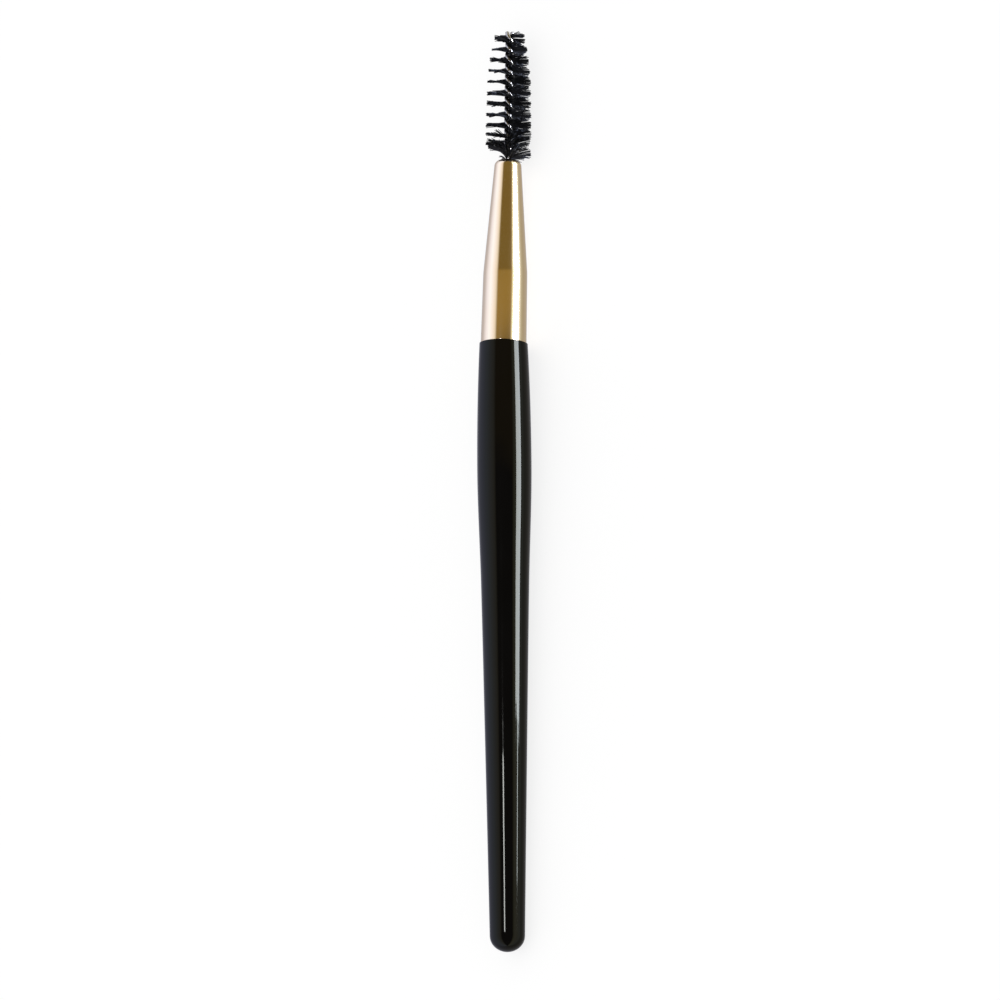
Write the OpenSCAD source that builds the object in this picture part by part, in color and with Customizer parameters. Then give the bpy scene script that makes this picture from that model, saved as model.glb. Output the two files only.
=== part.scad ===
// Eyebrow brush: a turned wooden handle, a drawn metal ferrule, and a twisted wire head
// of nylon filaments that is potted in the ferrule's neck.
// It lies on its belly and its tail, with the head towards +Y and +Z up. The origin is
// at the centre of its bounding box, on the surface that it lies on. The ferrule leans a
// little on the handle, and the brush lies with that lean downwards, where its centre of
// mass is lowest. It is round all along, so a nudge or a slope still rolls it.
// Each piece is drawn upright in its own frame: the handle's frame has its origin at the
// middle of the shoulder, the ferrule's frame leans from there, and the head's frame
// starts at the middle of the ferrule's mouth.

/* [Handle] */
// Length of the handle from its shoulder to the tip of its tail
handle_len = 105.3; // [96:0.1:130]
// Diameter at the shoulder, under the ferrule
shoulder_d = 8.3; // [8.2:0.05:8.6]
// Radius of the lacquered edge round the shoulder
shoulder_edge = 0.26; // [0.1:0.02:0.34]
// Diameter of the belly, the thickest place
belly_d = 9.35; // [9:0.05:10.5]
// Distance from the shoulder to the belly
belly_at = 21.4; // [18:0.2:26]
// Diameter of the waist, where the belly runs out into the taper
waist_d = 8.3; // [7.9:0.05:8.6]
// Distance from the shoulder to the waist
waist_at = 41.2; // [36:0.2:46]
// Diameter halfway down the taper
taper_d = 7.3; // [6.9:0.05:7.6]
// Distance from the shoulder to the middle of the taper
taper_at = 67.4; // [60:0.2:76]
// Diameter of the tail, where its dome begins
tail_d = 6.05; // [5.2:0.05:6.5]
// Height of the dome that closes the tail
dome_len = 2.8; // [1.5:0.1:4]
// Length of the tenon inside the ferrule
tenon_len = 9; // [6:0.5:11]
// Chamfer at the end of the tenon
tenon_chamfer = 0.5; // [0.2:0.1:1]

/* [Ferrule] */
// Length from the shoulder to the mouth
ferrule_len = 32.2; // [28:0.1:38]
// Diameter of the lower rim
rim_d = 7.86; // [7.7:0.02:8]
// Rounding of the lower rim's outer edge
rim_round = 0.18; // [0.04:0.02:0.2]
// Length of the almost straight part that grips the tenon
straight_len = 12.4; // [11.6:0.1:14]
// Diameter at the top of the straight part, where the cone begins
cone_d = 7.55; // [7.3:0.05:7.6]
// Diameter at the top of the cone
neck_d = 4.66; // [4.5:0.02:5.2]
// Radius of the shoulder that rolls in to the mouth
roll_r = 1.1; // [0.9:0.02:1.1]
// Diameter of the mouth
mouth_d = 2.1; // [1.9:0.05:2.15]
// Thickness of the metal
wall = 0.3; // [0.2:0.02:0.34]
// Lean of the ferrule on the handle, in degrees, which hangs downwards at rest
ferrule_lean = 2.6; // [0:0.1:3]

/* [Wire head] */
// Diameter of the wire
wire_d = 0.7; // [0.5:0.02:0.8]
// Height that the wires rise for one full turn of their twist
pitch = 3.82; // [3.4:0.02:5]
// Direction of the nip between the wires at the mouth, in degrees about the head's axis
mouth_turn = 77; // [0:1:180]
// Length of the head above the mouth
head_len = 22.5; // [18:0.1:26]
// Length of the twisted stem that is potted below the mouth
stem_len = 14; // [10:0.5:16]
// Length over which the twist runs out at the folded end
fold_len = 3; // [2:0.5:5]
// Lean of the head back up from the ferrule's axis, in degrees
head_lean = 0.9; // [0:0.1:3]
// Rings for each turn of the wire
rings_per_turn = 14; // [12:1:18]

/* [Filaments] */
// Diameter of one filament
filament_d = 0.12; // [0.09:0.01:0.14]
// Filaments for each turn of the wire
filaments_per_turn = 48; // [40:1:56]
// Height of the lowest filament above the mouth, or below it where negative
bristle_start = -0.3; // [-0.35:0.05:1]
// Bare wire left above the last filament
bare_tip = 0.55; // [0.2:0.05:1]
// Reach of the filaments from the wire's axis at the root
root_reach = 4; // [3.4:0.05:4.6]
// Loss of reach for each millimetre towards the tip
reach_taper = 0.02; // [0:0.005:0.04]
// Height above the mouth at which the rounded nose begins
nose_at = 12.5; // [9:0.5:15]
// Reach that the nose has lost at the tip of the wire
nose_drop = 1.25; // [0.6:0.05:1.6]
// Length of the root whose filaments the mouth pushes upwards
sweep_len = 5; // [4:0.1:7]
// Rise of the lowest filament, in degrees
sweep_root = 24; // [20:1:28]
// Rise of the last filament that is pushed up, in degrees
sweep_last = 4; // [4:1:10]
// Greatest stray tilt of a filament, in degrees
stray_tilt = 1.5; // [0:0.1:2]
// Greatest stray difference in a filament's reach
stray_reach = 0.12; // [0:0.01:0.2]

/* [Fits] */
// Glue gap between the tenon and the ferrule
tenon_fit = 0.05; // [0.02:0.01:0.1]
// Gap between the resin plug and what it is cast against
plug_fit = 0.02; // [0.01:0.01:0.04]
// Gap between the filaments and the wires that nip them
nip_fit = 0.01; // [0.01:0.01:0.03]
// Distance from the tenon's end to the resin plug
plug_gap = 3; // [1:0.5:6]

/* [Hidden] */
$fn = 96;
outline_step = 3;
arc_steps = 8;
wire_sides = 8;
bend_steps = 8;
filament_fn = 32;
edge_end = 15;
edge_run = 1;
cutter_r = 8;
cutter_h = 3;
overlap = 1;

// Radius of the wires' centre lines about the head's axis, and of the core they make
strand_r = wire_d / 2 + filament_d / 2 + nip_fit;
core_r = strand_r + wire_d / 2;

// Heights in the head's frame, above the mouth
fold_z = strand_r + wire_d / 2 - stem_len;
twist_z = fold_z + fold_len;
bristle_end = head_len - bare_tip;
bristle_len = bristle_end - bristle_start;
tuft_gap = filament_d + nip_fit;
filament_rise = (pitch - tuft_gap) / (filaments_per_turn - 1);
tufts = ceil(bristle_len / pitch);

// Stations of the handle's outline: distance from the shoulder, and radius
tail_at = handle_len - dome_len;
stations = [
    [0, shoulder_d / 2],
    [belly_at, belly_d / 2],
    [waist_at, waist_d / 2],
    [taper_at, taper_d / 2],
    [tail_at, tail_d / 2],
];

function chord(k) = (stations[k + 1][1] - stations[k][1]) / (stations[k + 1][0] - stations[k][0]);

// Slope at a station: along its neighbours inside, and a plain arc's at the two ends
function slope(k) =
    k == 0 ? 2 * chord(0) - slope(1)
    : k == len(stations) - 1 ? 2 * chord(k - 1) - slope(k - 1)
    : (stations[k + 1][1] - stations[k - 1][1]) / (stations[k + 1][0] - stations[k - 1][0]);

// Smooth curve between stations k and k + 1, at the fraction t of the way
function blend(k, t) =
    let (run = stations[k + 1][0] - stations[k][0])
    stations[k][1] * (2 * t ^ 3 - 3 * t ^ 2 + 1) + slope(k) * run * (t ^ 3 - 2 * t ^ 2 + t)
    + stations[k + 1][1] * (3 * t ^ 2 - 2 * t ^ 3) + slope(k + 1) * run * (t ^ 3 - t ^ 2);

// Points of the handle's side, as [distance from the shoulder, radius]
side = [
    for (k = [0 : len(stations) - 2])
        let (steps = ceil((stations[k + 1][0] - stations[k][0]) / outline_step))
        for (i = [0 : steps - 1])
            let (t = i / steps)
            [stations[k][0] + t * (stations[k + 1][0] - stations[k][0]), blend(k, t)],
    [tail_at, tail_d / 2],
];

// The brush rests on its belly and on the end of its taper, so its axis rises to the head
rest_tilt = atan(max([for (p = side) if (p[0] < taper_at) (p[1] - tail_d / 2) / (tail_at - p[0])]));
rest_lift = tail_at * sin(rest_tilt) + tail_d / 2 * cos(rest_tilt);
ferrule_tilt = rest_tilt - ferrule_lean;
head_tilt = ferrule_tilt + head_lean;
front_len = ferrule_len * cos(ferrule_tilt) + head_len * cos(head_tilt);
end_shift = (handle_len * cos(rest_tilt) - front_len) / 2;

// Points of an arc in the plane, from one angle to another
function arc(centre, r, from, to) =
    [for (i = [0 : arc_steps]) let (a = from + (to - from) * i / arc_steps) centre + r * [cos(a), sin(a)]];

// Centre of the ferrule's rolled shoulder, and of the lip round its mouth
roll_centre = [neck_d / 2 - roll_r, ferrule_len - roll_r];
lip_centre = [mouth_d / 2 + wall / 2, ferrule_len - wall / 2];

// Outer radius of the ferrule below its rolled shoulder
function ferrule_r(z) =
    z < straight_len ? (rim_d + (cone_d - rim_d) * z / straight_len) / 2
    : (cone_d + (neck_d - cone_d) * (z - straight_len) / (roll_centre[1] - straight_len)) / 2;

// Direction of the filaments at a height in the head, in degrees: the twist is left-handed
function nip_angle(z) =
    let (left = max(0, twist_z - z))
    mouth_turn - 360 / pitch * (z + left ^ 2 / (2 * fold_len));

function reach(z) = root_reach - reach_taper * z - nose_drop * (max(0, z - nose_at) / (head_len - nose_at)) ^ 2;

// Rise of a filament that starts at a height in the head
function sweep(z) =
    let (t = (z - bristle_start) / sweep_len)
    t < 1 ? sweep_root + (sweep_last - sweep_root) * t : 0;

stray = rands(-1, 1, 4 * tufts * filaments_per_turn, 7);

// The wire's route: each stop is a point and the direction away from the fold's middle
function strand_stop(z, half) =
    let (a = nip_angle(z) + 90 + half, out = [cos(a), sin(a), 0])
    [strand_r * out + [0, 0, z], out];

wire_steps = ceil((head_len - fold_z) / pitch * rings_per_turn);

function wire_z(i) = head_len + (fold_z - head_len) * i / wire_steps;

wire_route = concat(
    [for (i = [0 : wire_steps]) strand_stop(wire_z(i), 0)],
    [
        for (i = [1 : bend_steps - 1])
            let (b = 180 * i / bend_steps, a = nip_angle(fold_z) + 90)
            let (out = [cos(b) * cos(a), cos(b) * sin(a), -sin(b)])
            [strand_r * out + [0, 0, fold_z], out]
    ],
    [for (i = [wire_steps : -1 : 0]) strand_stop(wire_z(i), 180)]
);

function unit(v) = v / norm(v);

// One ring of points round the route, with a flat of the wire towards the axis
function ring(i) =
    let (last = len(wire_route) - 1)
    let (along = unit(wire_route[min(i + 1, last)][0] - wire_route[max(i - 1, 0)][0]))
    let (across = unit(cross(along, wire_route[i][1])), out = cross(across, along))
    [
        for (k = [0 : wire_sides - 1])
            let (a = 360 * (k + 0.5) / wire_sides)
            wire_route[i][0] + wire_d / 2 * (cos(a) * out + sin(a) * across)
    ];

module lie_down() {
    translate([0, end_shift, rest_lift]) rotate([rest_tilt - 90, 0, 0]) children();
}

module in_ferrule() {
    lie_down() rotate([-ferrule_lean, 0, 0]) children();
}

module in_head() {
    in_ferrule() translate([0, 0, ferrule_len]) rotate([head_lean, 0, 0]) children();
}

// Turned body of the handle, left long at the top for the seat to be cut
module handle_body() {
    dome = [for (i = [0 : arc_steps]) let (a = 90 - 90 * i / arc_steps)
        [tail_d / 2 * cos(a), -tail_at - dome_len * sin(a)]];
    flank = [for (i = [len(side) - 2 : -1 : 0]) [side[i][1], -side[i][0]]];
    rotate_extrude() polygon(concat(dome, flank, [[shoulder_d / 2, overlap], [0, overlap]]));
}

// What is cut away above the ferrule's seat and round its edge
module seat_cutter() {
    edge = arc([shoulder_d / 2 - shoulder_edge, -shoulder_edge], shoulder_edge, 90, edge_end);
    foot = edge[arc_steps] + edge_run * [sin(edge_end), -cos(edge_end)];
    rotate_extrude()
        polygon(concat([[0, cutter_h], [0, 0]], edge, [foot, [cutter_r, foot[1]], [cutter_r, cutter_h]]));
}

module tenon() {
    r = cone_d / 2 - wall - tenon_fit;
    rotate_extrude() polygon([
        [0, -overlap], [r, -overlap], [r, tenon_len - tenon_chamfer], [r - tenon_chamfer, tenon_len], [0, tenon_len],
    ]);
}

module handle() {
    color([0.05, 0.05, 0.05]) {
        difference() {
            lie_down() handle_body();
            in_ferrule() seat_cutter();
        }
        in_ferrule() tenon();
    }
}

module ferrule() {
    rim = arc([rim_d / 2 - rim_round, rim_round], rim_round, -90, 0);
    shoulder = arc(roll_centre, roll_r, 0, 90);
    lip = arc(lip_centre, wall / 2, 90, 270);
    inside = arc(roll_centre, roll_r - wall, 90, 0);
    foot = [[cone_d / 2 - wall, straight_len], [rim_d / 2 - wall, 0]];
    color([0.85, 0.72, 0.48]) in_ferrule() rotate_extrude()
        polygon(concat(rim, [[cone_d / 2, straight_len]], shoulder, lip, inside, foot));
}

module resin_plug() {
    floor_z = tenon_len + plug_gap;
    inside = arc(roll_centre, roll_r - wall - plug_fit, 90, 0);
    color([0.09, 0.08, 0.07]) difference() {
        in_ferrule() rotate_extrude() polygon(concat(
            [[0, lip_centre[1]], [mouth_d / 2 - plug_fit, lip_centre[1]], [mouth_d / 2 - plug_fit, inside[0][1]]],
            inside,
            [[cone_d / 2 - wall - plug_fit, straight_len], [ferrule_r(floor_z) - wall - plug_fit, floor_z], [0, floor_z]]
        ));
        in_head() translate([0, 0, -stem_len - plug_fit]) cylinder(r = core_r + plug_fit, h = stem_len + cutter_h);
    }
}

// One wire: down one strand, round the fold at the bottom, and up the other strand
module wire() {
    rings = len(wire_route);
    color([0.75, 0.75, 0.74]) in_head() polyhedron(
        points = [for (i = [0 : rings - 1]) each ring(i)],
        faces = concat(
            [[for (k = [wire_sides - 1 : -1 : 0]) k]],
            [
                for (i = [0 : rings - 2], k = [0 : wire_sides - 1])
                    let (here = i * wire_sides, above = here + wire_sides, next = (k + 1) % wire_sides)
                    each [[here + k, here + next, above + next], [here + k, above + next, above + k]]
            ],
            [[for (k = [0 : wire_sides - 1]) (rings - 1) * wire_sides + k]]
        )
    );
}

// A filament nipped at its middle: straight through the core, or swept up on both sides
module filament(length, rise, tilt) {
    if (rise == 0)
        rotate([0, 90 + tilt, 0]) cylinder(d = filament_d, h = 2 * length, center = true, $fn = filament_fn);
    else
        for (half = [0, 180])
            rotate([0, 0, half]) rotate([0, 90 - rise, 0]) cylinder(d = filament_d, h = length, $fn = filament_fn);
}

// The filaments of one full turn, squeezed into each other where the wires nip them
module tuft(k) {
    color([0.06, 0.06, 0.06]) in_head()
        for (i = [0 : filaments_per_turn - 1]) {
            z = bristle_start + (k - 1) * pitch + i * filament_rise;
            n = (k - 1) * filaments_per_turn + i;
            if (z <= bristle_end)
                translate([0, 0, z]) rotate([0, 0, nip_angle(z)])
                    filament(reach(z) + stray_reach * stray[2 * n], sweep(z), stray_tilt * stray[2 * n + 1]);
        }
}

handle();
ferrule();
resin_plug();
wire();
for (k = [1 : tufts]) {
    tuft(k);
}
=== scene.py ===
import math
import random

import bmesh
import bpy
from bpy.props import FloatProperty, FloatVectorProperty, IntProperty, PointerProperty
from mathutils import Matrix, Vector


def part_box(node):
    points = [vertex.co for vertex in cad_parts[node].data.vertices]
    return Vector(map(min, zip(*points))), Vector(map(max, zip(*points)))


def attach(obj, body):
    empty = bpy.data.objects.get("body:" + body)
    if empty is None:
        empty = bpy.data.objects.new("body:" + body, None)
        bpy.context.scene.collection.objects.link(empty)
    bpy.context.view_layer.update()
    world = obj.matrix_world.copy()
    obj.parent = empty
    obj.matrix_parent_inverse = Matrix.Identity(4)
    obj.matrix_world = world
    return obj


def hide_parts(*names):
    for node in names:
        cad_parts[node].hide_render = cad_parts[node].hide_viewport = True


bl_info = {
    "name": "Eyebrow Brush",
    "version": (1, 0, 0),
    "blender": (4, 5, 0),
    "location": "View3D > Sidebar > Eyebrow Brush",
    "description": "Dresses an eyebrow brush's solids in lacquer, gold, steel wire and nylon filaments",
    "category": "Object",
}

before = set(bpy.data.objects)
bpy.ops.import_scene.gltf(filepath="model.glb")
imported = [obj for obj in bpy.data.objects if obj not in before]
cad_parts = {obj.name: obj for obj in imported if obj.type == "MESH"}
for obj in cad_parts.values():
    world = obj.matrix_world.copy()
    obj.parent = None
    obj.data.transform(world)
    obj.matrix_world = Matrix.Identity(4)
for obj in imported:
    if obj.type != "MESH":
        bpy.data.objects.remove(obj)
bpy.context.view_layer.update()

# Steps and sides of the turned, swept and rounded shapes. The outline's is a length in metres.
TURN_STEPS = 96
OUTLINE_STEP = 0.001
DOME_STEPS = 14
ARC_STEPS = 10
EDGE_STEPS = 5
WIRE_SIDES = 12
WIRE_RINGS_PER_TURN = 22
WIRE_END_STEPS = 2
FOLD_STEPS = 12
FILAMENT_SIDES = 5
FILAMENT_CUTS = 9

# How near two points are that merge, how far the turned stick runs on past the seat before it is cut,
# how far a piece may reach past its solid's box, and the angle from which an edge stays sharp
MERGE_DISTANCE = 1e-7
SEAT_OVERRUN = 0.001
FIT_TOLERANCE = 0.0006
SHARP_ANGLE = math.radians(32)
# The unit for the depth of bumps, in metres
MICRON = 1e-6

# Spread of the filaments' tips out of their row, for each half turn of the wire from the mouth up.
# The first of them is at this height above the mouth. The last is all but reached, and the spread
# stays the same above it.
FIRST_ROW = 0.00037
ROW_SPREADS = (
    0.00058, 0.00062, 0.00034, 0.00052, 0.00038, 0.00050,
    0.00050, 0.00028, 0.00030, 0.00054, 0.00018, 0.00065,
)
LAST_ROW = len(ROW_SPREADS) - 1.001

# What each clump of filaments draws at random, from least to greatest: its wave out of the row as a
# share of the spread, and how far it gathers and is pushed up, as shares of the head's own amounts
CLUMP_WAVES = (-1, 1)
CLUMP_GATHERS = (0.1, 1.2)
CLUMP_PUSHES = (0.7, 1.15)
# How much of the spread comes from the clump's wave, and how much from the single filament
WAVE_SHARE = 0.5
OWN_SHARE = 0.65
# Power by which the skew of the sweep fades above the lowest filament
SKEW_FADE = 3
# Share of its thickness that a filament has lost at its tips
TIP_THINNING = 0.1

# The photograph: its side in pixels, and where the wire's tip and the handle's tail are in it
PHOTO_SIDE = 1000
PHOTO_TIP = Vector((509.8, 32.3))
PHOTO_TAIL = Vector((507.5, 952.0))

# The camera: its sensor in millimetres, how far it sees in metres, and how often it is moved closer
# to the photograph's view
SENSOR_WIDTH = 36.0
SIGHT = 20.0
CAMERA_ROUNDS = 12

# The room that the gloss mirrors, round the brush: degrees to the right of the camera's side of it,
# and radiance. Between the two places that have none is the dim ceiling.
WALLS = (
    (-180, (0.50, 0.50, 0.55)),
    (-130, (0.55, 0.57, 0.75)),
    (-100, (0.97, 1.08, 1.58)),
    (-80, (1.10, 1.29, 1.85)),
    (-60, (1.03, 1.09, 1.40)),
    (-47, (0.86, 0.87, 0.95)),
    (-41, (0.52, 0.48, 0.42)),
    (-37, None),
    (33, None),
    (36, (0.42, 0.38, 0.22)),
    (41, (0.90, 0.95, 0.80)),
    (50, (1.30, 1.30, 1.20)),
    (86, (0.85, 0.93, 1.00)),
    (94, (0.50, 0.52, 0.48)),
    (110, (0.42, 0.40, 0.37)),
    (180, (0.50, 0.50, 0.55)),
)
# The ceiling's radiance, by how far the mirrored direction points along the brush to its head
CEILING = (
    (0.13, (0.10, 0.08, 0.05)),
    (0.16, (0.31, 0.22, 0.07)),
    (0.24, (0.32, 0.23, 0.07)),
    (0.31, (0.18, 0.13, 0.04)),
)
# The radiance that counts as 1 in the sky's ramps
BRIGHTEST = 2.0

# Lights along the brush: degrees about it as for the walls, width in degrees, ends along it, radiance
LIGHTS = {
    "window_strip": (62.5, 23.0, (0.018, 0.34), (20.0, 23.0, 33.0)),
    "window_foot": (64.5, 3.5, (-0.014, 0.020), (23.0, 27.0, 38.0)),
    "tail_strip": (-17.5, 6.0, (-0.054, -0.004), (28.0, 31.0, 44.0)),
}
# Watts that give a light of one square metre a radiance of 1
WATTS = 4

# The Mix node's sockets for colours
MIX_FIRST = 6
MIX_SECOND = 7
MIX_RESULT = 2


def length(name, description, default, least=0.0):
    """A size in metres that the sidebar shows in the scene's units."""
    return FloatProperty(
        name=name, description=description, default=default, min=least, precision=5, unit="LENGTH"
    )


def angle(name, description, default):
    """An angle, given in degrees and kept in radians."""
    return FloatProperty(
        name=name, description=description, default=math.radians(default), subtype="ANGLE"
    )


def share(name, description, default):
    """A share from 0 to 1."""
    return FloatProperty(
        name=name, description=description, default=default, min=0.0, max=1.0, subtype="FACTOR"
    )


def colour(name, description, default):
    """A linear colour, or a light's radiance where it goes above 1."""
    return FloatVectorProperty(
        name=name, description=description, default=default, min=0.0, soft_max=1.0, size=3, subtype="COLOR"
    )


class HandleSizes(bpy.types.PropertyGroup):
    """Sizes of the turned wooden handle."""

    length: length("Length", "From the shoulder to the tip of the tail", 0.1053)
    shoulder_d: length("Shoulder", "Diameter under the ferrule", 0.0083)
    shoulder_edge: length("Shoulder edge", "Radius of the lacquered edge round the shoulder", 0.00026)
    belly_d: length("Belly", "Diameter of the thickest place", 0.00935)
    belly_at: length("Belly place", "From the shoulder to the belly", 0.0214)
    waist_d: length("Waist", "Diameter where the belly runs out into the taper", 0.0083)
    waist_at: length("Waist place", "From the shoulder to the waist", 0.0412)
    taper_d: length("Taper", "Diameter halfway down the taper", 0.0073)
    taper_at: length("Taper place", "From the shoulder to the middle of the taper", 0.0674)
    tail_d: length("Tail", "Diameter where the dome begins", 0.00605)
    dome_len: length("Dome", "Height of the dome that closes the tail", 0.0028)
    tenon_len: length("Tenon", "Length of the tenon inside the ferrule", 0.009)
    tenon_chamfer: length("Tenon chamfer", "Chamfer at the end of the tenon", 0.0005)
    tenon_fit: length("Tenon fit", "Glue gap between the tenon and the ferrule", 0.00005)


class FerruleSizes(bpy.types.PropertyGroup):
    """Sizes of the drawn metal ferrule."""

    length: length("Length", "From the shoulder to the mouth", 0.0322)
    rim_d: length("Rim", "Diameter of the lower rim", 0.00786)
    rim_round: length("Rim rounding", "Rounding of the lower rim's outer edge", 0.00018)
    straight_len: length("Straight part", "Length of the part that grips the tenon", 0.0124)
    cone_d: length("Cone", "Diameter where the cone begins", 0.00755)
    kink_run: length("Kink", "Half the length over which the straight part turns into the cone", 0.0004)
    neck_d: length("Neck", "Diameter at the top of the cone", 0.00466)
    roll_r: length("Roll", "Radius of the shoulder that rolls in to the mouth", 0.0011)
    mouth_d: length("Mouth", "Diameter of the mouth", 0.0021)
    wall: length("Wall", "Thickness of the metal", 0.0003)
    lean: angle("Lean", "Lean of the ferrule on the handle, downwards as it lies", 2.6)


class HeadSizes(bpy.types.PropertyGroup):
    """Sizes of the twisted wire and of the filaments that it nips."""

    length: length("Length", "From the ferrule's mouth to the tip of the wire", 0.0225)
    lean: angle("Lean", "Lean of the head back up from the ferrule", 0.9)
    wire_d: length("Wire", "Diameter of the wire", 0.0007)
    pitch: length("Pitch", "Height that the wires rise for one full turn", 0.00382)
    mouth_turn: angle("Mouth turn", "Direction of the nip between the wires at the mouth", 77.0)
    stem_len: length("Stem", "Length of the twisted stem below the mouth", 0.014)
    fold_len: length("Fold", "Length over which the twist runs out at the fold", 0.003)
    wire_end: length("Wire end", "Rounding of the cut ends of the wire", 0.00012)
    filament_d: length("Filament", "Diameter of one filament", 0.00012)
    nip_fit: length("Nip fit", "Gap between the filaments and the wires that nip them", 0.00001)
    filaments_per_turn: IntProperty(
        name="Filaments per turn", description="Filaments nipped in one turn of the wire",
        default=180, min=8, max=240,
    )
    bristle_start: length("First filament", "Height of the lowest one above the mouth", -0.0003, -0.001)
    bare_tip: length("Bare tip", "Bare wire above the last filament", 0.00055)
    root_reach: length("Reach", "Reach of the filaments from the wire's axis at the root", 0.0041)
    reach_taper: FloatProperty(name="Taper", description="Reach lost, as a share of height", default=0.02)
    nose_at: length("Nose place", "Height at which the rounded nose begins", 0.0125)
    nose_drop: length("Nose drop", "Reach that the nose has lost at the tip", 0.00125)
    sweep_len: length("Sweep", "Length of the root whose filaments the mouth pushes upwards", 0.005)
    sweep_root: angle("Sweep at the root", "Rise of the lowest filament", 29.0)
    sweep_last: angle("Sweep at its end", "Rise of the last filament that is pushed up", 4.0)
    sweep_skew: share("Sweep skew", "How much more the lowest filaments are pushed up on one side", 0.5)
    mouth_depth: length("Mouth depth", "How far below the first filament hidden ones are nipped", 0.0006)
    sweep_mouth: angle("Sweep in the mouth", "Rise of the deepest hidden filament", 45.0)
    clump: IntProperty(name="Clump", description="Neighbours whose tips gather", default=9, min=1)
    gather: share("Gather", "How far the tips of a clump come together", 0.4)
    stray_turn: angle("Stray turn", "Greatest turn of a filament's tip out of its row", 2.0)
    stray_reach: share("Stray reach", "Greatest share of its reach that a filament is short", 0.035)


class BrushFinish(bpy.types.PropertyGroup):
    """Colours of the five finishes."""

    lacquer: colour("Lacquer", "Black gloss lacquer of the handle", (0.0016, 0.0016, 0.0018))
    gold: colour("Gold", "Pale gold of the ferrule", (0.94, 0.76, 0.50))
    resin: colour("Resin", "Potting resin in the ferrule's mouth", (0.030, 0.027, 0.024))
    steel: colour("Steel", "Bright drawn wire", (0.46, 0.42, 0.34))
    nylon: colour("Nylon", "Black nylon of the filaments", (0.004, 0.004, 0.0045))


class StageSettings(bpy.types.PropertyGroup):
    """The camera, the distance of the lights, the floor and the air over it."""

    camera_rise: angle("Rise", "Angle between the brush and the line of sight, seen from the tail", 80.3)
    camera_side: angle("Side", "Turn of the camera about the brush, to the side of its lean", 42.0)
    lens: FloatProperty(name="Lens", description="Focal length of the camera", default=620.0, unit="CAMERA")
    light_distance: length("Light distance", "From the brush to the lights", 0.5)
    floor_size: length("Floor", "Side of the floor", 8.0)
    floor_shade: colour("Floor shade", "Colour of the floor", (0.18, 0.18, 0.18))
    floor_glow: FloatProperty(name="Floor glow", description="Radiance of the floor itself", default=0.80)
    air: colour("Air", "Radiance of the pale air over the floor", (1.15, 1.15, 1.15))


def arc(centre, radius, start, end, steps=ARC_STEPS):
    """Points of an arc in the plane, from one angle in degrees to another."""
    angles = [math.radians(start + (end - start) * i / steps) for i in range(steps + 1)]
    return [(centre[0] + radius * math.cos(a), centre[1] + radius * math.sin(a)) for a in angles]


def stations(handle):
    """Places along the handle that set its outline: distance from the shoulder, and radius."""
    return [
        (0.0, handle.shoulder_d / 2),
        (handle.belly_at, handle.belly_d / 2),
        (handle.waist_at, handle.waist_d / 2),
        (handle.taper_at, handle.taper_d / 2),
        (handle.length - handle.dome_len, handle.tail_d / 2),
    ]


def chord(points, k):
    """Slope of the straight line from one station to the next."""
    return (points[k + 1][1] - points[k][1]) / (points[k + 1][0] - points[k][0])


def slope(points, k):
    """Slope of the outline at a station: along its neighbours inside, and a plain arc's at the ends."""
    last = len(points) - 1
    if k == 0:
        return 2 * chord(points, 0) - slope(points, 1)
    if k == last:
        return 2 * chord(points, last - 1) - slope(points, last - 1)
    return (points[k + 1][1] - points[k - 1][1]) / (points[k + 1][0] - points[k - 1][0])


def handle_side(handle):
    """Points of the smooth curve through the stations: distance from the shoulder, and radius."""
    points = stations(handle)
    side = []
    for k in range(len(points) - 1):
        (start, r_start), (end, r_end) = points[k], points[k + 1]
        run = end - start
        steps = math.ceil(run / OUTLINE_STEP)
        for i in range(steps):
            t = i / steps
            radius = (
                r_start * (2 * t**3 - 3 * t**2 + 1)
                + slope(points, k) * run * (t**3 - 2 * t**2 + t)
                + r_end * (3 * t**2 - 2 * t**3)
                + slope(points, k + 1) * run * (t**3 - t**2)
            )
            side.append((start + t * run, radius))
    side.append(points[-1])
    return side


def places(scene):
    """Frames of the handle, the ferrule and the head in the brush, each with +Z towards the head."""
    handle, ferrule, head = scene.brush_handle, scene.brush_ferrule, scene.brush_head
    tail_r, tail_at = handle.tail_d / 2, handle.length - handle.dome_len
    # The brush lies on its belly and on the edge of its tail
    belly = [(s, r) for s, r in handle_side(handle) if s < handle.taper_at]
    tilt = max(math.atan2(r - tail_r, tail_at - s) for s, r in belly)
    lift = tail_at * math.sin(tilt) + tail_r * math.cos(tilt)
    front = ferrule.length * math.cos(tilt - ferrule.lean)
    front += head.length * math.cos(tilt - ferrule.lean + head.lean)
    middle = (handle.length * math.cos(tilt) - front) / 2
    on_handle = Matrix.Translation((0, middle, lift)) @ Matrix.Rotation(tilt - math.pi / 2, 4, "X")
    on_ferrule = on_handle @ Matrix.Rotation(-ferrule.lean, 4, "X")
    on_head = on_ferrule @ Matrix.Translation((0, 0, ferrule.length)) @ Matrix.Rotation(head.lean, 4, "X")
    return on_handle, on_ferrule, on_head


def strand_r(head):
    """Radius of the two strands' centre lines about the head's axis."""
    return head.wire_d / 2 + head.filament_d / 2 + head.nip_fit


def fold_height(head):
    """Height at which the strands turn into the fold, which ends at the foot of the stem."""
    return strand_r(head) + head.wire_d / 2 - head.stem_len


def twist(head, z):
    """Direction of the filaments at a height in the head: left-handed, and running out at the fold."""
    left = max(0.0, fold_height(head) + head.fold_len - z)
    return head.mouth_turn - math.tau / head.pitch * (z + left**2 / (2 * head.fold_len))


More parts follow.
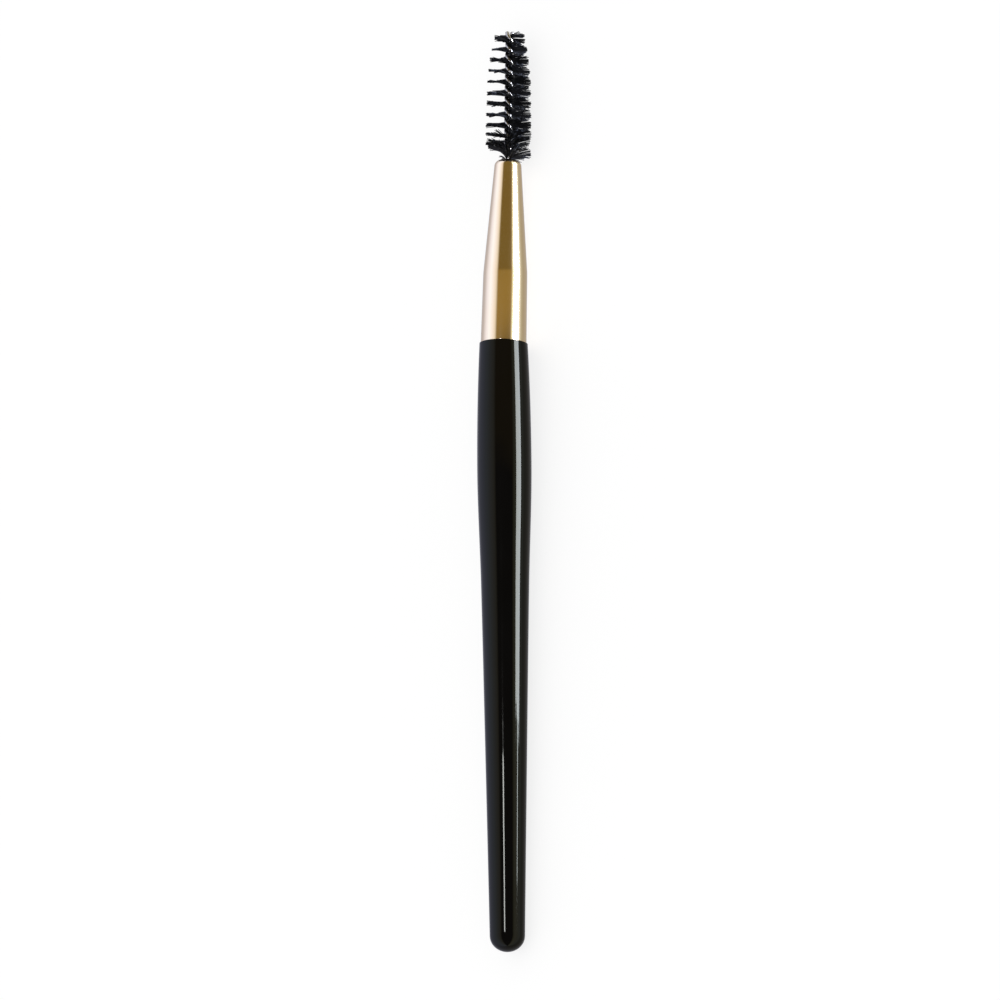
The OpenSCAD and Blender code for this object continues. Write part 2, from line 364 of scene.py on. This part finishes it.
def turned(profile, closed=False):
    """A mesh turned about +Z from a profile of (radius, height) points."""
    bm = bmesh.new()
    verts = [bm.verts.new((r, 0, z)) for r, z in profile]
    edges = [bm.edges.new(pair) for pair in zip(verts, verts[1:])]
    if closed:
        edges.append(bm.edges.new((verts[-1], verts[0])))
    bmesh.ops.spin(
        bm, geom=verts + edges, cent=(0, 0, 0), axis=(0, 0, 1), dvec=(0, 0, 0), angle=math.tau,
        steps=TURN_STEPS, use_merge=True, use_duplicate=False,
    )
    bmesh.ops.remove_doubles(bm, verts=bm.verts, dist=MERGE_DISTANCE)
    return bm


def widest_face(bm):
    """The face of a mesh with the greatest area."""
    return max(bm.faces, key=lambda face: face.calc_area())


def round_edges(bm, edges, width, steps):
    """Rounds edges off in a number of steps. One step is a chamfer."""
    bmesh.ops.bevel(
        bm, geom=edges, offset=width, offset_type="OFFSET", affect="EDGES",
        segments=steps, profile=0.5, clamp_overlap=True, material=-1,
    )


def finish_piece(name, bm, place, material, node):
    """Puts a mesh in its place, gives it its finish, and lets it stand for its solid."""
    bmesh.ops.transform(bm, matrix=place, verts=bm.verts)
    bmesh.ops.remove_doubles(bm, verts=bm.verts, dist=MERGE_DISTANCE)
    bmesh.ops.recalc_face_normals(bm, faces=bm.faces)
    mesh = bpy.data.meshes.new(name)
    bm.to_mesh(mesh)
    bm.free()
    mesh.materials.append(material)
    mesh.shade_smooth()
    mesh.set_sharp_from_angle(angle=SHARP_ANGLE)
    piece = bpy.data.objects.new(name, mesh)
    bpy.context.scene.collection.objects.link(piece)
    check_place(piece, node)
    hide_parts(node)
    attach(piece, "root")


def check_place(piece, node):
    """Stops the script if a piece reaches too far past the box of the solid that it stands for."""
    low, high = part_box(node)
    for corner in piece.bound_box:
        for here, least, most in zip(corner, low, high):
            if not least - FIT_TOLERANCE <= here <= most + FIT_TOLERANCE:
                raise RuntimeError(
                    f"{piece.name} reaches past {node}: {tuple(corner)} is outside {low} to {high}"
                )


class Amount:
    """A number that varies over a surface or the sky. Arithmetic on it adds Math nodes."""

    def __init__(self, nodes, socket):
        self.nodes = nodes
        self.socket = socket

    def math(self, operation, first, second):
        node = self.nodes.add("ShaderNodeMath", {"operation": operation}, {0: first, 1: second})
        return Amount(self.nodes, node.outputs[0])

    def turn_from(self, other):
        """Angle in radians of the direction that has this amount across and the other one ahead."""
        return self.math("ARCTAN2", self, other)

    def __add__(self, other):
        return self.math("ADD", self, other)

    def __sub__(self, other):
        return self.math("SUBTRACT", self, other)

    def __mul__(self, other):
        return self.math("MULTIPLY", self, other)

    __radd__ = __add__


class Nodes:
    """The nodes of a material or of the world while they are made."""

    def __init__(self, owner):
        owner.use_nodes = True
        self.tree = owner.node_tree
        self.tree.nodes.clear()

    def add(self, kind, settings=None, inputs=None):
        """Adds a node: first its settings or a ramp's stops, then its sockets' values or links."""
        node = self.tree.nodes.new(kind)
        for name, value in (settings or {}).items():
            if name == "stops":
                self.set_stops(node.color_ramp.elements, value)
            else:
                setattr(node, name, value)
        for name, value in (inputs or {}).items():
            self.feed(node.inputs[name], value)
        return node

    def set_stops(self, elements, stops):
        """Gives a ramp its stops, in order: place from 0 to 1, and colour with alpha."""
        elements.remove(elements[1])
        elements[0].position, elements[0].color = stops[0]
        for position, rgba in stops[1:]:
            elements.new(position).color = rgba

    def feed(self, socket, value):
        """Links an amount or a socket to a socket, or sets a plain value on it."""
        if isinstance(value, Amount):
            value = value.socket
        if isinstance(value, bpy.types.NodeSocket):
            self.tree.links.new(value, socket)
        else:
            socket.default_value = value

    def blend(self, amount, first, second):
        """A colour between two, by an amount. Each of the two is a plain colour or a link."""
        first, second = (
            rgb if isinstance(rgb, bpy.types.NodeSocket) else (*rgb, 1.0) for rgb in (first, second)
        )
        inputs = {"Factor": amount, MIX_FIRST: first, MIX_SECOND: second}
        return self.add("ShaderNodeMix", {"data_type": "RGBA"}, inputs).outputs[MIX_RESULT]


class Finish(Nodes):
    """A material while it is made: its nodes, and the surface shader that they feed."""

    def __init__(self, name, constants):
        self.material = bpy.data.materials.new(name)
        super().__init__(self.material)
        self.surface = self.add("ShaderNodeBsdfPrincipled", {}, constants)
        self.add("ShaderNodeOutputMaterial", {}, {"Surface": self.surface.outputs["BSDF"]})
        self.place = self.add("ShaderNodeTexCoord").outputs["Object"]

    def cloud(self, scale, stretch=(1, 1, 1), detail=2.0):
        """Soft noise from 0 to 1, with that many cells to a metre along each axis."""
        cells = [scale * axis for axis in stretch]
        place = self.add("ShaderNodeMapping", {}, {"Vector": self.place, "Scale": cells})
        noise = self.add(
            "ShaderNodeTexNoise", {"noise_dimensions": "3D"},
            {"Vector": place.outputs["Vector"], "Scale": 1.0, "Detail": detail, "Roughness": 0.55},
        )
        return Amount(self, noise.outputs["Fac"])

    def bump(self, height, depth, under=None):
        """Raises the surface by an amount times a depth in metres, over another bump."""
        inputs = {"Height": height, "Distance": depth, "Strength": 1.0}
        if under is not None:
            inputs["Normal"] = under
        return self.add("ShaderNodeBump", {}, inputs).outputs["Normal"]

    def vary(self, **inputs):
        """Feeds what changes over the surface to the shader, and returns the finished material."""
        for name, value in inputs.items():
            self.feed(self.surface.inputs[name.replace("_", " ")], value)
        return self.material


def scaled(rgb, factor):
    """A colour made lighter or darker."""
    return tuple(channel * factor for channel in rgb)


def sky_stop(place, rgb, alpha=1.0):
    """A stop of one of the sky's ramps, from its place and radiance."""
    return place, (*scaled(rgb, 1 / BRIGHTEST), alpha)


def lacquer_finish(rgb):
    """Black gloss lacquer: long waves from brushing, a fine orange peel, and faint handling marks."""
    finish = Finish(
        "lacquered_wood", {"IOR": 1.5, "Specular IOR Level": 0.17, "Specular Tint": (0.98, 0.91, 0.61, 1.0)}
    )
    waves = finish.cloud(140, (1.0, 0.9, 1.0), 1.0)
    peel = finish.cloud(900, detail=1.0)
    haze = finish.cloud(260, (1.0, 0.35, 1.0), 3.0)
    return finish.vary(
        Base_Color=finish.blend(haze, scaled(rgb, 0.7), scaled(rgb, 1.6)),
        Roughness=0.028 + haze * 0.04,
        Normal=finish.bump(peel, 1.2 * MICRON, finish.bump(waves, 22 * MICRON)),
    )


def gold_finish(rgb):
    """Polished pale gold: fine polishing lines round the tube, and a tone that drifts a little."""
    finish = Finish("gold_ferrule", {})
    tone = finish.cloud(220, detail=3.0)
    lines = finish.cloud(60, (1.0, 130.0, 1.0), 2.0)
    return finish.vary(
        Metallic=1.0,
        Base_Color=finish.blend(tone, (rgb[0], rgb[1] * 0.95, rgb[2] * 0.88), rgb),
        Roughness=0.09 + tone * 0.04 + lines * 0.03,
        Normal=finish.bump(lines, 0.6 * MICRON),
    )


def resin_finish(rgb):
    """Dark potting resin with a glossy skin that has sunk unevenly."""
    finish = Finish("potting_resin", {"IOR": 1.52})
    sunk = finish.cloud(1500)
    return finish.vary(
        Base_Color=finish.blend(sunk, scaled(rgb, 0.6), scaled(rgb, 1.5)),
        Roughness=0.12 + sunk * 0.2,
        Normal=finish.bump(sunk, 20 * MICRON),
    )


def steel_finish(rgb):
    """Bright drawn wire with a slightly uneven polish."""
    finish = Finish("twisted_wire", {})
    draw = finish.cloud(2600, detail=3.0)
    return finish.vary(
        Metallic=1.0,
        Base_Color=finish.blend(draw, scaled(rgb, 0.8), scaled(rgb, 1.2)),
        Roughness=0.16 + draw * 0.14,
        Normal=finish.bump(draw, MICRON),
    )


def nylon_finish(rgb):
    """Black nylon filament, satin, with each stretch a little lighter or darker than the next."""
    finish = Finish("nylon_filament", {"IOR": 1.53, "Specular IOR Level": 0.22})
    shade = finish.cloud(1800)
    return finish.vary(
        Base_Color=finish.blend(shade, scaled(rgb, 0.4), scaled(rgb, 2.2)),
        Roughness=0.4 + shade * 0.2,
    )


def paper_finish(rgb, glow):
    """Pale matt paper for the floor, lit through from below."""
    finish = Finish("pale_paper", {"Specular IOR Level": 0.0, "Emission Strength": glow})
    fibre = finish.cloud(35)
    return finish.vary(
        Base_Color=finish.blend(fibre, scaled(rgb, 0.99), scaled(rgb, 1.01)),
        Emission_Color=(1.0, 1.0, 1.0, 1.0),
        Roughness=0.85 + fibre * 0.1,
    )


class BRUSH_OT_handle(bpy.types.Operator):
    """Turn the wooden handle with its shoulder, belly, dome and tenon"""

    bl_idname = "brush.turn_handle"
    bl_label = "Handle"

    def execute(self, context):
        handle, ferrule = context.scene.brush_handle, context.scene.brush_ferrule
        place, _, _ = places(context.scene)
        side = handle_side(handle)
        tail_at, tail_r = side[-1]
        dome = [(x, -tail_at - y) for x, y in arc((0, 0), 1.0, 90, 0, DOME_STEPS)]
        dome = [(x * tail_r, -tail_at + (z + tail_at) * handle.dome_len) for x, z in dome]
        flank = [(r, -s) for s, r in reversed(side[:-1])]
        bm = turned(dome + flank + [(handle.shoulder_d / 2, SEAT_OVERRUN)])
        self.cut_seat(bm, handle, ferrule)
        material = lacquer_finish(context.scene.brush_finish.lacquer)
        finish_piece("handle_lacquered", bm, place, material, "handle")
        return {"FINISHED"}

    def cut_seat(self, bm, handle, ferrule):
        """Cuts the shoulder square to the ferrule, rounds its edge, and draws the tenon out of it."""
        up = Matrix.Rotation(-ferrule.lean, 3, "X") @ Vector((0, 0, 1))
        cut = bmesh.ops.bisect_plane(
            bm, geom=bm.verts[:] + bm.edges[:] + bm.faces[:], dist=MERGE_DISTANCE,
            plane_co=(0, 0, 0), plane_no=up, clear_outer=True,
        )
        rim = [part for part in cut["geom_cut"] if isinstance(part, bmesh.types.BMEdge)]
        bmesh.ops.edgeloop_fill(bm, edges=rim)
        round_edges(bm, rim, handle.shoulder_edge, EDGE_STEPS)
        tenon_r = ferrule.cone_d / 2 - ferrule.wall - handle.tenon_fit
        ledge = handle.shoulder_d / 2 - handle.shoulder_edge - tenon_r
        bmesh.ops.inset_region(
            bm, faces=[widest_face(bm)], thickness=ledge, depth=0.0, use_even_offset=True
        )
        drawn = bmesh.ops.extrude_discrete_faces(bm, faces=[widest_face(bm)])["faces"][0]
        bmesh.ops.translate(bm, vec=up * handle.tenon_len, verts=drawn.verts)
        round_edges(bm, drawn.edges[:], handle.tenon_chamfer, 1)


class BRUSH_OT_ferrule(bpy.types.Operator):
    """Draw the gold ferrule with its rim, cone, rolled shoulder and lip"""

    bl_idname = "brush.draw_ferrule"
    bl_label = "Ferrule"

    def execute(self, context):
        _, place, _ = places(context.scene)
        bm = turned(self.profile(context.scene.brush_ferrule), closed=True)
        material = gold_finish(context.scene.brush_finish.gold)
        finish_piece("ferrule_gold", bm, place, material, "ferrule")
        return {"FINISHED"}

    def profile(self, ferrule):
        """The ferrule's section, from the rim up the outside, over the lip and down the inside."""
        rim_r, cone_r, neck_r = (d / 2 for d in (ferrule.rim_d, ferrule.cone_d, ferrule.neck_d))
        wall = ferrule.wall
        roll = (neck_r - ferrule.roll_r, ferrule.length - ferrule.roll_r)
        lip = (ferrule.mouth_d / 2 + wall / 2, ferrule.length - wall / 2)
        rim = arc((rim_r - ferrule.rim_round, ferrule.rim_round), ferrule.rim_round, -90, 0)
        corner = Vector((cone_r, ferrule.straight_len))
        below = (Vector((rim_r, ferrule.rim_round)) - corner).normalized()
        above = (Vector((neck_r, roll[1])) - corner).normalized()
        kink = []
        for i in range(ARC_STEPS + 1):
            t = i / ARC_STEPS
            kink.append(tuple(corner + ferrule.kink_run * (below * (1 - t) ** 2 + above * t**2)))
        shoulder = arc(roll, ferrule.roll_r, 0, 90)
        inside = arc(roll, ferrule.roll_r - wall, 90, 0)
        foot = [(cone_r - wall, ferrule.straight_len), (rim_r - wall, 0.0)]
        return rim + kink + shoulder + arc(lip, wall / 2, 90, 270) + inside + foot


class BRUSH_OT_resin(bpy.types.Operator):
    """Give the resin plug in the ferrule's neck its finish"""

    bl_idname = "brush.cast_resin"
    bl_label = "Resin plug"

    def execute(self, context):
        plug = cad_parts["resin_plug"]
        plug.data.materials.clear()
        plug.data.materials.append(resin_finish(context.scene.brush_finish.resin))
        return {"FINISHED"}


class BRUSH_OT_wire(bpy.types.Operator):
    """Twist the folded steel wire"""

    bl_idname = "brush.twist_wire"
    bl_label = "Wire"

    def execute(self, context):
        head = context.scene.brush_head
        _, _, place = places(context.scene)
        frames = self.ring_frames(self.route(head))
        bm = bmesh.new()
        turn = Matrix.Rotation(math.pi / WIRE_SIDES, 4, "Z")
        bmesh.ops.create_circle(
            bm, cap_ends=False, segments=WIRE_SIDES, radius=head.wire_d / 2, matrix=frames[0] @ turn
        )
        ring = bm.edges[:]
        for before, after in zip(frames, frames[1:]):
            grown = bmesh.ops.extrude_edge_only(bm, edges=ring)["geom"]
            verts = [part for part in grown if isinstance(part, bmesh.types.BMVert)]
            ring = [part for part in grown if isinstance(part, bmesh.types.BMEdge) and part.is_boundary]
            bmesh.ops.transform(bm, matrix=after @ before.inverted(), verts=verts)
        ends = [edge for edge in bm.edges if edge.is_boundary]
        bmesh.ops.holes_fill(bm, edges=ends, sides=0)
        round_edges(bm, ends, head.wire_end, WIRE_END_STEPS)
        material = steel_finish(context.scene.brush_finish.steel)
        finish_piece("wire_twisted", bm, place, material, "wire")
        return {"FINISHED"}

    def route(self, head):
        """Stops down one strand, round the fold and up the other: point, and direction outwards."""
        radius, fold_z = strand_r(head), fold_height(head)
        steps = math.ceil((head.length - fold_z) / head.pitch * WIRE_RINGS_PER_TURN)
        heights = [head.length + (fold_z - head.length) * i / steps for i in range(steps + 1)]
        stops = [self.stop(head, radius, z, 0.0) for z in heights]
        across = twist(head, fold_z) + math.pi / 2
        for i in range(1, FOLD_STEPS):
            bend = math.pi * i / FOLD_STEPS
            level = math.cos(bend)
            out = Vector((level * math.cos(across), level * math.sin(across), -math.sin(bend)))
            stops.append((radius * out + Vector((0, 0, fold_z)), out))
        return stops + [self.stop(head, radius, z, math.pi) for z in reversed(heights)]

    def stop(self, head, radius, z, half):
        """One stop on a strand: the two strands are half a turn apart."""
        a = twist(head, z) + math.pi / 2 + half
        out = Vector((math.cos(a), math.sin(a), 0.0))
        return radius * out + Vector((0, 0, z)), out

    def ring_frames(self, route):
        """A frame for each ring of the wire, with +Z along it and +X outwards."""
        frames = []
        for i, (point, outwards) in enumerate(route):
            along = (route[min(i + 1, len(route) - 1)][0] - route[max(i - 1, 0)][0]).normalized()
            across = along.cross(outwards).normalized()
            turn = Matrix((across.cross(along), across, along)).transposed().to_4x4()
            frames.append(Matrix.Translation(point) @ turn)
        return frames


class BRUSH_OT_filaments(bpy.types.Operator):
    """Nip the nylon filaments between the strands, one group for each turn of the wire"""

    bl_idname = "brush.nip_filaments"
    bl_label = "Filaments"

    def execute(self, context):
        head = context.scene.brush_head
        _, _, place = places(context.scene)
        material = nylon_finish(context.scene.brush_finish.nylon)
        blank = self.blank()
        tufts = math.ceil((head.length - head.bare_tip - head.bristle_start) / head.pitch)
        for k in range(1, tufts + 1):
            bm = self.tuft(head, blank, k)
            finish_piece(f"filaments_{k}", bm, place, material, f"tuft_{k}")
        bpy.data.meshes.remove(blank)
        return {"FINISHED"}

    def blank(self):
        """A straight filament along X from -1 to 1, of radius 1, with both ends closed."""
        bm = bmesh.new()
        bmesh.ops.create_cone(
            bm, cap_ends=True, cap_tris=False, segments=FILAMENT_SIDES, radius1=1.0, radius2=1.0, depth=2.0,
            matrix=Matrix.Rotation(math.pi / 2, 4, "Y"),
        )
        lengthwise = [edge for edge in bm.edges if abs(edge.verts[0].co.x - edge.verts[1].co.x) > 1.0]
        bmesh.ops.subdivide_edges(bm, edges=lengthwise, cuts=FILAMENT_CUTS)
        mesh = bpy.data.meshes.new("filament_blank")
        bm.to_mesh(mesh)
        bm.free()
        return mesh

    def tuft(self, head, blank, k):
        """The filaments of one turn of the wire. The first turn also has the hidden ones in the mouth."""
        stray = random.Random(k)
        gap = head.filament_d + head.nip_fit
        rise = (head.pitch - gap) / (head.filaments_per_turn - 1)
        first = head.bristle_start + (k - 1) * head.pitch
        hidden = math.floor(head.mouth_depth / rise) if k == 1 else 0
        last = min(head.filaments_per_turn, math.floor((head.length - head.bare_tip - first) / rise) + 1)
        clumps = math.ceil((hidden + last) / head.clump) + 1
        waves, gathers, pushes = (
            {side: [stray.uniform(*span) for _ in range(clumps)] for side in (-1, 1)}
            for span in (CLUMP_WAVES, CLUMP_GATHERS, CLUMP_PUSHES)
        )
        bm = bmesh.new()
        for i in range(hidden + last):
            z = first + (i - hidden) * rise
            clump, nth = divmod(i, head.clump)
            middle = z + ((head.clump - 1) / 2 - nth) * rise
            t = nth / head.clump
            sides = {}
            for side in (-1, 1):
                gather = head.gather * gathers[side][clump]
                reach = self.reach(head, z) * (1 - head.stray_reach * stray.random())
                bend = gather * (twist(head, middle) - twist(head, z))
                bend += head.stray_turn * stray.uniform(-1, 1)
                wave = waves[side][clump] * (1 - t) + waves[side][clump + 1] * t
                out = WAVE_SHARE * wave + OWN_SHARE * stray.uniform(-1, 1)
                lift = gather * (middle - z) + self.spread(head, z) * out
                sides[side] = (reach, bend, lift, self.sweep(head, z, side) * pushes[side][clump])
            bm.from_mesh(blank)
            bm.verts.ensure_lookup_table()
            self.shape(head, bm.verts[-len(blank.vertices):], z, sides)
        return bm

    def push(self, head, z):
        """How hard the mouth pushes a filament up: 1 for the lowest that shows, and 0 above the root."""
        return max(0.0, 1 - (z - head.bristle_start) / head.sweep_len)

    def sweep(self, head, z, side):
        """How steeply one side of a filament is pushed up: most inside the mouth, not above the root."""
        below = head.bristle_start - z
        if below > 0:
            return head.sweep_root + (head.sweep_mouth - head.sweep_root) * below / head.mouth_depth
        push = self.push(head, z)
        if not push:
            return 0.0
        evenly = head.sweep_last + (head.sweep_root - head.sweep_last) * push
        return evenly * (1 - side * head.sweep_skew * push**SKEW_FADE)

    def spread(self, head, z):
        """How far the filaments' tips spread out of their row at a height in the head."""
        row = min(max(0.0, (z - FIRST_ROW) / (head.pitch / 2)), LAST_ROW)
        below = math.floor(row)
        return ROW_SPREADS[below] + (ROW_SPREADS[below + 1] - ROW_SPREADS[below]) * (row - below)

    def shape(self, head, verts, z, sides):
        """Gives a blank its length, its bend on each side of the wire, and its place."""
        push = self.push(head, z)
        turn = Matrix.Rotation(twist(head, z), 3, "Z")
        for vert in verts:
            along = min(1.0, abs(vert.co.x))
            reach, bend, lift, sweep = sides[1 if vert.co.x > 0 else -1]
            out = along * reach * math.cos(sweep)
            rise = reach * math.sin(sweep) * (1 - (1 - along) ** (1 + push)) + lift * along
            height = min(z + rise, head.length - head.filament_d)
            thickness = head.filament_d / 2 * (1 - TIP_THINNING * along**3)
            flat = Matrix.Rotation(bend * along, 3, "Z") @ Vector((math.copysign(out, vert.co.x), 0, 0))
            across = Vector((0, vert.co.y * thickness, vert.co.z * thickness))
            vert.co = turn @ (flat + across) + Vector((0, 0, height))

    def reach(self, head, z):
        """How far the filaments reach at a height in the head."""
        nose = max(0.0, z - head.nose_at) / (head.length - head.nose_at)
        return head.root_reach - head.reach_taper * z - head.nose_drop * nose**2


class BRUSH_OT_stage(bpy.types.Operator):
    """Lay the pale floor, hang the lights and place the camera as the photograph has it"""

    bl_idname = "brush.set_stage"
    bl_label = "Stage"

    def execute(self, context):
        stage = context.scene.brush_stage
        context.scene.view_settings.view_transform = "Standard"
        self.floor(context.scene, stage)
        self.room(context.scene, stage)
        for name, layout in LIGHTS.items():
            self.light(name, stage, *layout)
        self.camera(context.scene, stage)
        return {"FINISHED"}

    def floor(self, scene, stage):
        """A pale floor that takes a soft shadow, and that the lights and the gloss pass through."""
        bm = bmesh.new()
        bmesh.ops.create_grid(bm, x_segments=1, y_segments=1, size=stage.floor_size / 2)
        mesh = bpy.data.meshes.new("floor")
        bm.to_mesh(mesh)
        bm.free()
        mesh.materials.append(paper_finish(stage.floor_shade, stage.floor_glow))
        floor = bpy.data.objects.new("floor", mesh)
        floor.visible_glossy = False
        floor.visible_diffuse = False
        floor.visible_shadow = False
        scene.collection.objects.link(floor)

    def room(self, scene, stage):
        """Pale air all round, and for the gloss to mirror, a room with walls and a ceiling instead."""
        world = bpy.data.worlds.new("pale_room")
        nodes = Nodes(world)
        ahead = nodes.add("ShaderNodeTexCoord").outputs["Generated"]
        parts = nodes.add("ShaderNodeSeparateXYZ", {}, {"Vector": ahead})
        x, y, z = (Amount(nodes, part) for part in parts.outputs)
        sine, cosine = math.sin(stage.camera_side), math.cos(stage.camera_side)
        turn = (x * cosine - z * sine).turn_from(x * sine + z * cosine)
        walls = nodes.add(
            "ShaderNodeValToRGB", {"stops": self.wall_stops()}, {"Fac": turn * (1 / math.tau) + 0.5}
        )
        ceiling = nodes.add(
            "ShaderNodeValToRGB", {"stops": [sky_stop(*stop) for stop in CEILING]}, {"Fac": y}
        )
        mirrored = nodes.blend(walls.outputs["Alpha"], ceiling.outputs["Color"], walls.outputs["Color"])
        glossy = nodes.add("ShaderNodeLightPath").outputs["Is Glossy Ray"]
        radiance = nodes.blend(glossy, scaled(stage.air, 1 / BRIGHTEST), mirrored)
        sky = nodes.add("ShaderNodeBackground", {}, {"Color": radiance, "Strength": BRIGHTEST})
        nodes.add("ShaderNodeOutputWorld", {}, {"Surface": sky.outputs["Background"]})
        world.cycles.sampling_method = "NONE"
        scene.world = world

    def wall_stops(self):
        """The walls as a ramp over the full turn about the brush, which is clear where the ceiling is."""
        stops = []
        for k, (degrees, rgb) in enumerate(WALLS):
            shown = rgb or WALLS[k - 1][1] or WALLS[k + 1][1]
            stops.append(sky_stop(degrees / 360 + 0.5, shown, 1.0 if rgb else 0.0))
        return stops

    def light(self, name, stage, degrees, spread, reach, radiance):
        """A light along the brush, at an angle about it, that shows only where the gloss mirrors it."""
        data = bpy.data.lights.new(name, "AREA")
        data.shape = "RECTANGLE"
        data.size = 2 * stage.light_distance * math.tan(math.radians(spread / 2))
        data.size_y = reach[1] - reach[0]
        peak = max(radiance)
        data.color = scaled(radiance, 1 / peak)
        data.energy = WATTS * data.size * data.size_y * peak
        lamp = bpy.data.objects.new(name, data)
        turn = Matrix.Rotation(stage.camera_side + math.radians(degrees), 4, "Y")
        outwards = Matrix.Translation((0, 0, stage.light_distance))
        lamp.matrix_world = Matrix.Translation((0, sum(reach) / 2, 0)) @ turn @ outwards
        lamp.visible_camera = False
        lamp.visible_diffuse = False
        bpy.context.scene.collection.objects.link(lamp)

    def camera(self, scene, stage):
        """Moves a camera until the wire's tip and the handle's tail fall where the photograph has them."""
        data = bpy.data.cameras.new("camera")
        data.lens = stage.lens
        data.sensor_width = SENSOR_WIDTH
        data.clip_end = SIGHT
        camera = bpy.data.objects.new("camera", data)
        scene.collection.objects.link(camera)
        scene.camera = camera
        handle_place, _, head_place = places(scene)
        tip = head_place @ Vector((0, 0, scene.brush_head.length))
        tail = handle_place @ Vector((0, 0, -scene.brush_handle.length))
        back = Matrix.Rotation(stage.camera_side, 3, "Y") @ Vector(
            (0, -math.cos(stage.camera_rise), math.sin(stage.camera_rise))
        )
        right = Vector((0, 1, 0)).cross(back).normalized()
        level = Matrix((right, back.cross(right), back)).transposed()
        focus = PHOTO_SIDE * data.lens / SENSOR_WIDTH
        wanted = PHOTO_TIP - PHOTO_TAIL
        aim, roll, distance = (tip + tail) / 2, 0.0, (tip - tail).length * focus / wanted.length
        for _ in range(CAMERA_ROUNDS):
            turn = level @ Matrix.Rotation(roll, 3, "Z")
            camera.matrix_world = Matrix.Translation(aim + turn @ Vector((0, 0, distance))) @ turn.to_4x4()
            tip_px, tail_px = (self.pixel(camera.matrix_world, focus, point) for point in (tip, tail))
            seen = tip_px - tail_px
            roll += math.atan2(-seen.y, seen.x) - math.atan2(-wanted.y, wanted.x)
            off = ((tip_px + tail_px) - (PHOTO_TIP + PHOTO_TAIL)) / 2 * distance / focus
            aim += turn @ Vector((off.x, -off.y, 0))
            distance *= seen.length / wanted.length

    def pixel(self, place, focus, point):
        """Where a point falls in the photograph."""
        seen = place.inverted() @ point
        return Vector((PHOTO_SIDE / 2 - focus * seen.x / seen.z, PHOTO_SIDE / 2 + focus * seen.y / seen.z))


class VIEW3D_PT_eyebrow_brush(bpy.types.Panel):
    """Lists the brush's pieces and its sizes"""

    bl_label = "Eyebrow Brush"
    bl_space_type = "VIEW_3D"
    bl_region_type = "UI"
    bl_category = "Eyebrow Brush"

    def draw(self, context):
        for operator in OPERATORS:
            self.layout.operator(operator.bl_idname)
        for name in SETTINGS:
            settings = getattr(context.scene, name)
            box = self.layout.box()
            for prop in settings.bl_rna.properties:
                if prop.identifier not in {"rna_type", "name"}:
                    box.prop(settings, prop.identifier)


SETTINGS = {
    "brush_handle": HandleSizes,
    "brush_ferrule": FerruleSizes,
    "brush_head": HeadSizes,
    "brush_finish": BrushFinish,
    "brush_stage": StageSettings,
}
OPERATORS = (
    BRUSH_OT_handle,
    BRUSH_OT_ferrule,
    BRUSH_OT_resin,
    BRUSH_OT_wire,
    BRUSH_OT_filaments,
    BRUSH_OT_stage,
)
CLASSES = (*SETTINGS.values(), *OPERATORS, VIEW3D_PT_eyebrow_brush)


def register():
    for cls in CLASSES:
        bpy.utils.register_class(cls)
    for name, group in SETTINGS.items():
        setattr(bpy.types.Scene, name, PointerProperty(type=group))


def unregister():
    for name in SETTINGS:
        delattr(bpy.types.Scene, name)
    for cls in reversed(CLASSES):
        bpy.utils.unregister_class(cls)


def main():
    register()
    bpy.ops.brush.turn_handle()
    bpy.ops.brush.draw_ferrule()
    bpy.ops.brush.cast_resin()
    bpy.ops.brush.twist_wire()
    bpy.ops.brush.nip_filaments()
    bpy.ops.brush.set_stage()


if __name__ == "__main__":
    main()
